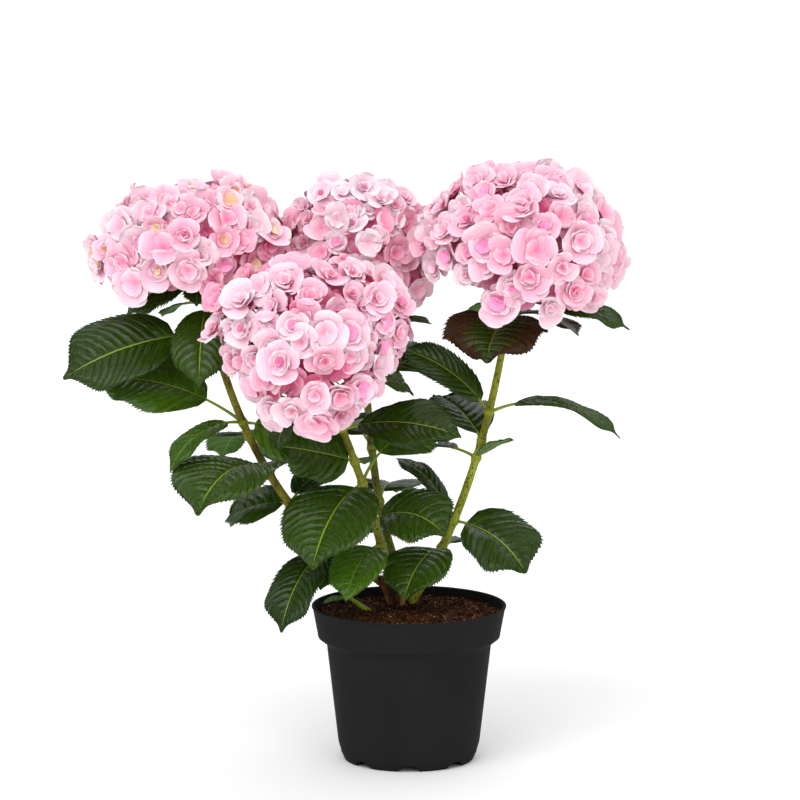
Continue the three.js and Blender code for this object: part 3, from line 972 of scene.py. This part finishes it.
def dome_point(bloom):
    """A function that sets a point of the unit dome, whose pole is +Z, in the bloom's place."""
    turn = UP.rotation_difference(Vector(bloom["facing"]).normalized())
    middle = Vector(bloom["middle"])
    lobes, side, swell = bloom["lobes"]

    def at(unit, scale):
        bearing = math.atan2(unit.y, unit.x) - math.radians(side)
        lobe = math.cos(lobes * bearing) * math.hypot(unit.x, unit.y)
        reach = scale * (1 + swell * lobe)
        spot = Vector((unit.x * bloom["across"], unit.y * bloom["across"], unit.z * bloom["deep"]))
        return turn @ (spot * reach) + middle

    return at


def floret_places(bloom, count, shift=0.0):
    """A golden-angle spiral from the pole to the dome's reach. Each place has the same share of its skin."""
    golden = math.pi * (3 - math.sqrt(5))
    steps = 400
    reach = math.radians(bloom["reach"])
    bands = []
    for i in range(steps):
        polar = (i + 0.5) / steps * reach
        slope = math.hypot(bloom["across"] * math.cos(polar), bloom["deep"] * math.sin(polar))
        bands.append(math.sin(polar) * slope)
    per_floret = sum(bands) / count
    places, covered = [], per_floret / 2
    for i, band in enumerate(bands):
        covered += band
        if covered < per_floret:
            continue
        covered -= per_floret
        polar = (i + 0.5) / steps * reach
        angle = len(places) * golden + shift
        out = math.sin(polar)
        places.append(Vector((out * math.cos(angle), out * math.sin(angle), math.cos(polar))))
    return places


# Florets lean a little towards the viewer's side and up, as if they had grown to the light there.
TO_LIGHT = Vector((0, -0.5, 0.1))
# How far a floret strays from its even place and from its lean, how deep its foot lies under the skin, and
# within how many of another bloom's half widths from that bloom's middle a floret takes a deeper pink as
# painted shade.
STRAY = 0.08
SAG = 0.36
FOOT_DEPTH = 12
SHADE_REACH = 1.45
WHORL_FIELDS = ("counts", "length", "width", "lean", "cup", "wave", "pink")
# Whorls of a double floret from its outer sepals to its bud: how many sepals each may have, their length and
# width over the floret's radius, their lean from its axis at foot and tip, how deeply they cup, how far they
# wave, and the pink of their foot.
WHORLS = [
    dict(zip(WHORL_FIELDS, numbers))
    for numbers in (
        ((4, 4, 4, 5), 1.0, 1.2, (52, 86), 0.1, 0.18, 5),
        ((4, 4, 5), 0.68, 0.84, (50, 76), 0.14, 0.2, 5),
        ((3, 4), 0.48, 0.64, (46, 62), 0.16, 0.18, 5),
        ((3,), 0.32, 0.44, (38, 18), 0.26, 0.1, 4),
    )
]
# How many whorls an outer floret may have, and the florets under them, whose deeper pink is painted shade in
# the gaps between the outer florets.
WHORL_COUNTS = (2, 3, 3, 4)
# Painted shade: the under-layer's florets are three to five pinks deeper than the skin's, for the shade in
# the gaps.
UNDER_LAYER = {"scale": 0.83, "radius": 25, "shades": (-5, -4, -3)}
SEPAL_ROWS = (0.0, 0.25, 0.48, 0.68, 0.83, 0.92, 0.975, 1.0)
SEPAL_COLUMNS = (-1.0, -0.82, -0.5, -0.18, 0.18, 0.5, 0.82, 1.0)
# How many pinks paler a sepal is between one row and the next than at its foot.
SEPAL_STEPS = (-1, 0, 1, 2, 3, 4, 4)
# The share of its length where a sepal is widest.
WIDEST = 0.62


def sepal_half_width(r, width):
    if r > WIDEST:
        return width / 2 * (1 - ((r - WIDEST) / (1 - WIDEST)) ** 2.3) ** 0.5
    return width / 2 * (0.12 + 0.88 * math.sin(math.pi / 2 * r / WIDEST) ** 0.85)


def sepal_tones(foot, offset):
    """The pinks of a sepal's faces, from its foot to its paler rim."""
    columns = len(SEPAL_COLUMNS) - 1
    tones = []
    for step in SEPAL_STEPS:
        for c in range(columns):
            pale = 1 if c in (0, columns - 1) else 0
            tones.append(FIRST_PINK + round(clamp(foot + step + pale + offset, 0, len(PINKS) - 1)))
    return tones


def add_sepal(pile, foot, axis, out, whorl, size, tilt, tones):
    """A cupped sepal with a waved and nicked rim, which leans out from the floret's axis and twists."""
    seed = rng.uniform(0, 60)
    length = whorl["length"] * size
    width = whorl["width"] * size * rng.uniform(0.86, 1.12)
    twist = rng.uniform(-0.34, 0.34)
    side = axis.cross(out)
    points = []
    spot = foot.copy()
    before = 0.0
    for r in SEPAL_ROWS:
        angle = math.radians(lerp(whorl["lean"][0] + tilt * 0.6, whorl["lean"][1] + tilt, r))
        direction = axis * math.cos(angle) + out * math.sin(angle)
        inward = axis * math.sin(angle) - out * math.cos(angle)
        spot = spot + direction * (length * (r - before))
        before = r
        half = sepal_half_width(r, width)
        turn = twist * r
        level = side * math.cos(turn) + inward * math.sin(turn)
        for a in SEPAL_COLUMNS:
            wave = whorl["wave"] * length * r * rough((a * 1.3, r * 1.5, 0), 1.0, seed)
            nick = 0.05 * length * smooth(0.6, 1, r) * rough((a * 5, 0, 0), 1.0, seed)
            rise = whorl["cup"] * half * a * a + wave
            points.append(spot + level * (half * a) + inward * rise + direction * nick)
    pile.add(points, strip_faces(len(SEPAL_ROWS), len(SEPAL_COLUMNS)), tones)


def add_floret(pile, foot, axis, radius, offset, heart, whorls):
    """Whorls of sepals round an axis. offset is how many pinks paler they are, heart the bud's own tone."""
    start = Quaternion((0, 0, 1), rng.uniform(0, 2 * math.pi)) @ Vector((1, 0, 0))
    first = axis.cross(start if abs(axis.dot(start)) < 0.9 else UP).normalized()
    opening = rng.uniform(-20, 10)
    inner = rng.uniform(0.75, 1.12)
    for ring, whorl in enumerate(whorls):
        count = rng.choice(whorl["counts"])
        base = foot + axis * (0.1 * radius * ring)
        tones = sepal_tones(whorl["pink"], offset)
        if heart and ring > 1 and ring == len(whorls) - 1:
            tones = [heart] * len(tones)
        for k in range(count):
            turn = 2 * math.pi * (k + ring * 0.5) / count + rng.uniform(-0.4, 0.4)
            out = Quaternion(axis, turn) @ first
            size = radius * (rng.uniform(0.8, 1.0) * inner if ring else rng.choice((0.78, 0.9, 1.0, 1.12)))
            add_sepal(pile, base, axis, out, whorl, size, opening + rng.uniform(-17, 17), tones)


def floret_heart(name):
    """The tone of a floret's bud: lilac, on the left bloom often cream or peach, or None for pink."""
    if name == "left" and rng.random() < 0.42:
        return rng.choice((CREAM, PEACH))
    return LILAC if rng.random() < 0.35 else None


def in_other_bloom_shade(name, spot):
    """Whether another bloom stands close by a spot of this one and shades it, so that the florets there get
    painted shade.
    """
    others = [other for key, other in BLOOMS.items() if key != name]
    return any((spot - Vector(other["middle"])).length < SHADE_REACH * other["across"] for other in others)


def add_outer_floret(pile, name, foot, axis):
    """A double floret of the bloom's skin. Where another bloom shades it, it is painted a deeper pink as
    shade.
    """
    bloom = BLOOMS[name]
    # Painted shade: two pinks deeper where another bloom stands close and shades the floret.
    offset = rng.choice(bloom["shades"]) - (2 if in_other_bloom_shade(name, foot) else 0)
    whorls = WHORLS[:rng.choice(WHORL_COUNTS)]
    radius = rng.uniform(*bloom["sizes"])
    add_floret(pile, foot, axis, radius, offset, floret_heart(name), whorls)


def add_under_floret(pile, foot, axis):
    """A single floret under the skin, whose deep pink is painted shade in the gaps between the outer ones.
    """
    offset = rng.choice(UNDER_LAYER["shades"])
    add_floret(pile, foot, axis, UNDER_LAYER["radius"], offset, None, WHORLS[:1])


def add_ray(pile, hub, direction, foot, axis):
    """A thin stalk from the hub of the bloom to the foot of a floret."""
    bend = hub.lerp(foot, 0.45) + direction * (0.12 * (foot - hub).length)
    way = (foot - hub).normalized()
    across = (foot - hub).cross(UP) if abs(way.z) < 0.98 else AWAY
    level = across.normalized().cross(way)
    add_tube(pile, sampled([hub, bend, foot + axis], 5), lambda t: lerp(1.3, 0.7, t), 5, level, RAY)


def jitter(reach):
    """A random shift, by up to the reach each way."""
    return Vector([rng.uniform(-reach, reach) for _ in range(3)])


def make_bloom(name):
    """A mophead: a hub on the cane's tip, and rays from it to two layers of florets."""
    bloom = BLOOMS[name]
    at = dome_point(bloom)
    line = CANES[name]["line"]
    tip_radius = CANES[name]["radii"][1]
    tip, direction = Vector(line[-1]), along(line, 1)
    hub = tip + direction * 8
    petals, rays = Pile(), Pile()
    neck = [tip + direction * 0.35, tip + direction * 4, hub + direction * 2]
    add_tube(rays, neck, lambda t: tip_radius * (1 - 0.2 * t), 12, AWAY, RAY)
    places = [(unit, 1.0) for unit in floret_places(bloom, bloom["florets"])]
    places += [(unit, UNDER_LAYER["scale"]) for unit in floret_places(bloom, bloom["florets"], 1.2)]
    for unit, scale in places:
        unit = (unit + jitter(STRAY)).normalized()
        skin = at(unit, scale)
        outward = (skin - at(unit, scale * 0.8)).normalized()
        axis = (outward + jitter(SAG) + TO_LIGHT).normalized()
        foot = skin - outward * (FOOT_DEPTH + rng.uniform(-4, 6))
        if scale == 1:
            add_outer_floret(petals, name, foot, axis)
        else:
            add_under_floret(petals, foot, axis)
        add_ray(rays, hub, direction, foot, axis)
    petals.made(f"{name}_petals", PETALS, "petal", [f"{name}_bloom"])
    rays.made(f"{name}_flower_rays", PETALS, "petal", [])


# ---- Floor and light -----------------------------------------------------------------------------


FLOOR_REACH = 40
# Each sun's azimuth and elevation in degrees, its strength, and how broad it is in degrees.
SUNS = {"key": (-30, 48, 1.15, 40), "fill": (10, 14, 0.75, 60), "back": (160, 50, 0.5, 60)}


def make_floor():
    mesh = bpy.data.meshes.new("floor")
    corners = [(x * FLOOR_REACH, y * FLOOR_REACH, 0) for x, y in ((-1, -1), (1, -1), (1, 1), (-1, 1))]
    mesh.from_pydata(corners, [], [(0, 1, 2, 3)])
    mesh.materials.append(plain("floor", "#f8f8f8", 0.9))
    floor = bpy.data.objects.new("floor", mesh)
    bpy.context.scene.collection.objects.link(floor)


def make_sun(name, azimuth, elevation, strength, angle):
    """A broad soft light from far off. Azimuth 0 is the plant's front and 90 its right."""
    data = bpy.data.lights.new(name, "SUN")
    data.energy = strength
    data.angle = math.radians(angle)
    lamp = bpy.data.objects.new(name, data)
    lamp.rotation_euler = (math.radians(90 - elevation), 0, math.radians(azimuth))
    bpy.context.scene.collection.objects.link(lamp)


def make_sky():
    """Soft white studio light from above, which fades towards the horizon."""
    world = bpy.data.worlds.new("studio")
    world.use_nodes = True
    nodes, links = world.node_tree.nodes, world.node_tree.links
    split = nodes.new("ShaderNodeSeparateXYZ")
    links.new(nodes.new("ShaderNodeTexCoord").outputs["Generated"], split.inputs["Vector"])
    ramp = nodes.new("ShaderNodeValToRGB")
    low, high = ramp.color_ramp.elements
    low.position, high.position = 0, 0.7
    low.color, high.color = (0.42, 0.42, 0.42, 1), (1, 1, 1, 1)
    links.new(split.outputs["Z"], ramp.inputs["Fac"])
    links.new(ramp.outputs["Color"], nodes["Background"].inputs["Color"])
    nodes["Background"].inputs["Strength"].default_value = 0.95
    bpy.context.scene.world = world


def make_light():
    make_sky()
    for name, numbers in SUNS.items():
        make_sun(name, *numbers)
    bpy.context.scene.view_settings.view_transform = "Standard"


make_pot()
make_soil()
make_crown()
make_shoot()
for cane_name in CANES:
    make_cane(cane_name)
    make_leaves(cane_name)
    make_bloom(cane_name)
make_floor()
make_light()
